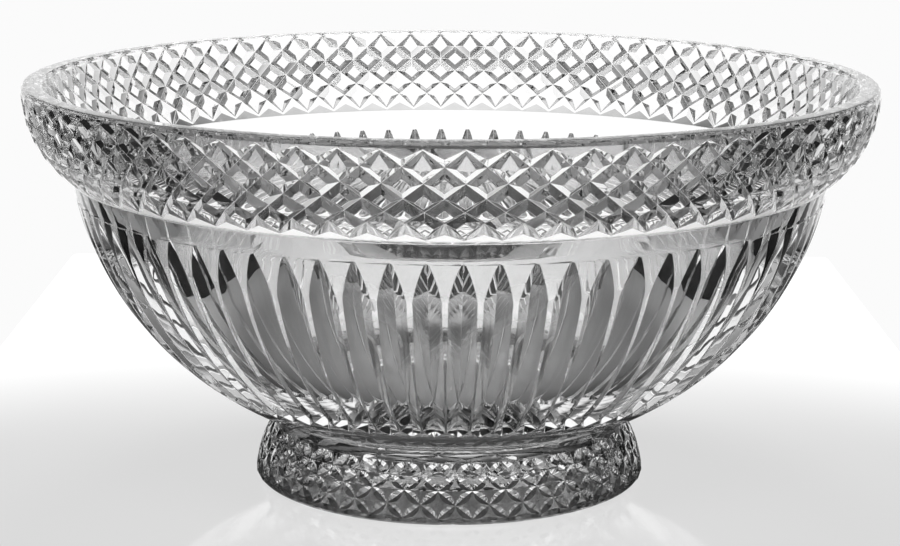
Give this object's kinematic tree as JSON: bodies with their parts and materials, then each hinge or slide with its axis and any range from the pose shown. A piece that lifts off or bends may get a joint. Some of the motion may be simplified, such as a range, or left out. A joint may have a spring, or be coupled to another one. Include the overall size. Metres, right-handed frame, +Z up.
{
  "type": "trifle bowl",
  "caption": "Footed trifle bowl of clear pressed glass, with a diamond-cut rim band, long vertical flutes, a plain collar and a diamond-cut foot.",
  "frame": {"origin": "centre of the ring on which the foot rests, at the level of the table", "axes": "+Z up along the axis of the bowl, towards its mouth; +X through the middle of a flute and of a diamond on the foot"},
  "size_m": [0.24, 0.24, 0.1146],
  "materials": {
    "glass": "polished"
  },
  "bodies": {
    "root": {"bowl": "glass", "collar": "glass", "foot": "glass"}
  },
  "joints": []
}
